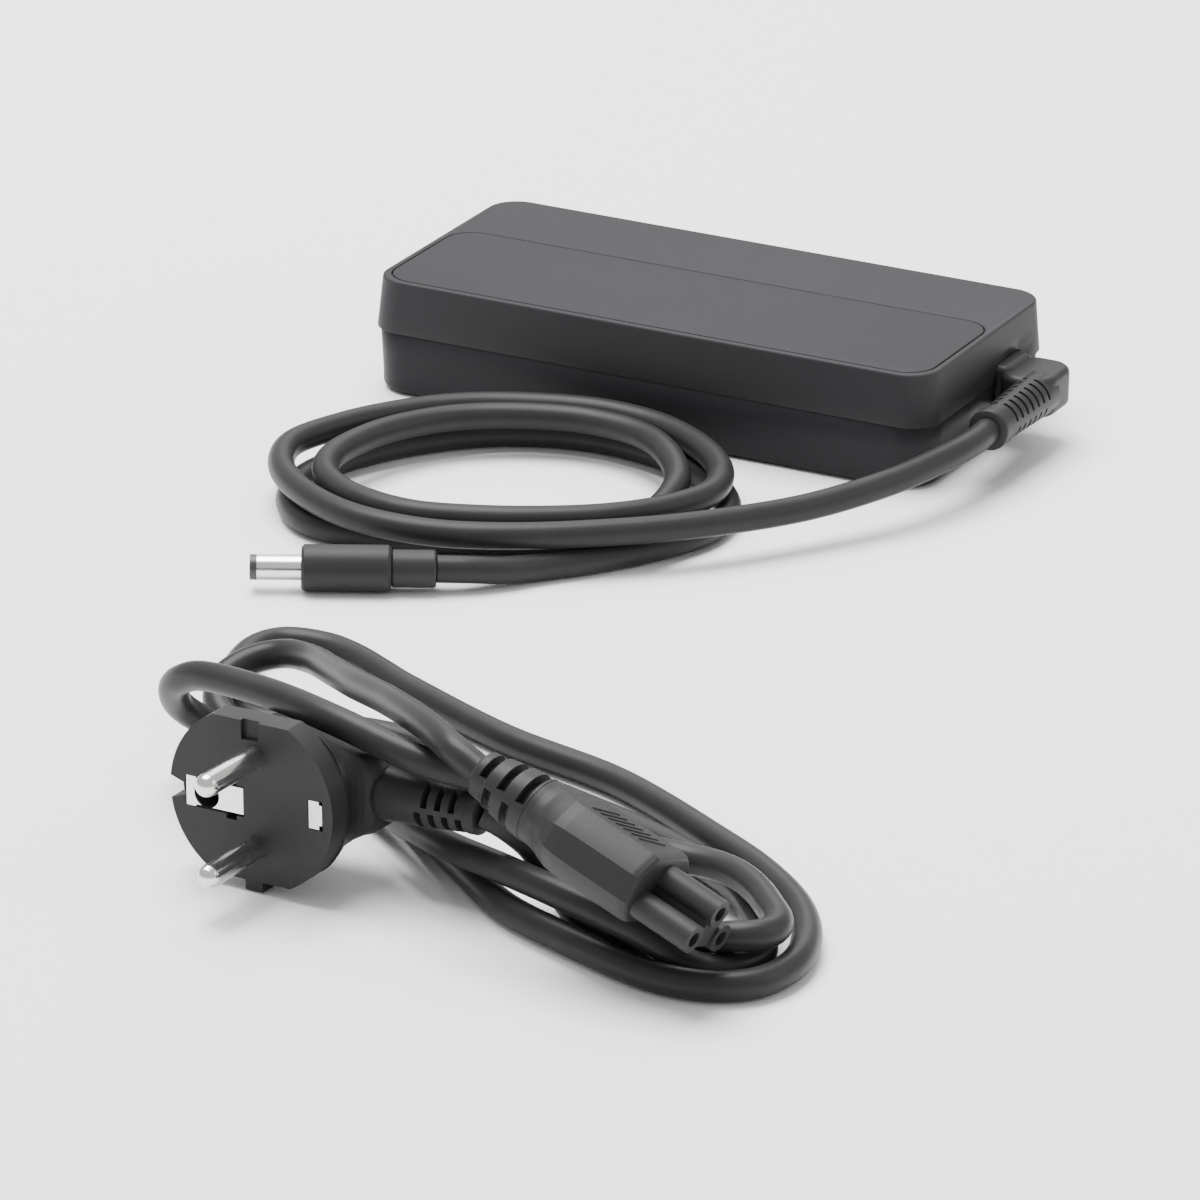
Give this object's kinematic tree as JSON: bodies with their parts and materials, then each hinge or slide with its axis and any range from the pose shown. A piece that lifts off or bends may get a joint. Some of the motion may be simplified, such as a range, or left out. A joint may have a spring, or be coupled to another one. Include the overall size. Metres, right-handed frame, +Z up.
{
  "type": "laptop power adapter",
  "caption": "Closed power brick with an elbowed, coiled output lead ending in a barrel plug, and a folded mains lead with a round grounded plug and a three-lobed connector.",
  "frame": {"origin": "on the table, under the centre of the brick", "axes": "+X along the brick to its output end, +Z up, -Y toward the coiled leads"},
  "size_m": [0.2296, 0.3486, 0.0393],
  "materials": {
    "upper_housing": "matte",
    "lower_housing": "satin",
    "inlay": "matte",
    "label": "satin, blank",
    "spreader_plate": "plain sheet",
    "insulation": "thin film",
    "board": "solder mask",
    "inner_plastic": "moulded",
    "plated_contact": "nickel plated",
    "fuse_body": "ceramic tube",
    "film_capacitor": "moulded box",
    "disc_capacitor": "dipped",
    "copper_coil": "enamelled wire",
    "can_sleeve": "shrink sleeve",
    "heatsink_metal": "plain",
    "ferrite": "sintered",
    "thermal_pad": "soft",
    "wire_sleeve": "insulated wire",
    "lead_moulding": "satin overmoulding",
    "output_cord": "satin sheath",
    "tip_plastic": "moulded",
    "brass_contact": "plated",
    "plug_moulding": "satin overmoulding",
    "pin_metal": "nickel plated",
    "earth_metal": "plated strip",
    "mains_cord_sheath": "satin sheath",
    "connector_moulding": "satin overmoulding"
  },
  "bodies": {
    "brick": {"upper_shell": "upper_housing", "lower_shell": "lower_housing", "top_inlay": "inlay", "rating_label": "label", "heat_spreader_lower": "spreader_plate", "insulation_sheet": "insulation", "circuit_board": "board", "inlet_housing": "inner_plastic", "inlet_pins": "plated_contact", "fuse": "fuse_body", "x_capacitor": "film_capacitor", "y_capacitors": "disc_capacitor", "input_choke": "copper_coil", "bridge_rectifier": "inner_plastic", "boost_choke": "copper_coil", "bulk_capacitor": "can_sleeve", "primary_heatsink": "heatsink_metal", "power_transistors": "inner_plastic", "transformer_core": "ferrite", "transformer_winding": "copper_coil", "secondary_heatsink": "heatsink_metal", "output_rectifiers": "inner_plastic", "output_capacitors": "can_sleeve", "output_choke": "copper_coil", "control_chips": "inner_plastic", "thermal_pads": "thermal_pad", "heat_spreader_upper": "spreader_plate", "output_wires": "wire_sleeve", "dc_elbow": "lead_moulding", "dc_cord": "output_cord", "dc_plug_sleeve": "lead_moulding", "dc_plug_body": "lead_moulding", "barrel_contact": "plated_contact", "barrel_tip_ring": "tip_plastic", "centre_contact": "brass_contact"},
    "mains_lead": {"mains_plug_face": "plug_moulding", "mains_plug_back": "plug_moulding", "mains_pins": "pin_metal", "earth_clips": "earth_metal", "mains_tail": "plug_moulding", "mains_cord": "mains_cord_sheath", "connector_boot": "connector_moulding", "connector_body": "connector_moulding", "connector_nose": "connector_moulding", "connector_contacts": "plated_contact"}
  },
  "joints": [
    {"name": "mains_lead_lift", "type": "slide", "parent": "brick", "child": "mains_lead", "axis": [0, 0, 1], "range_m": [0, 0.1]}
  ]
}
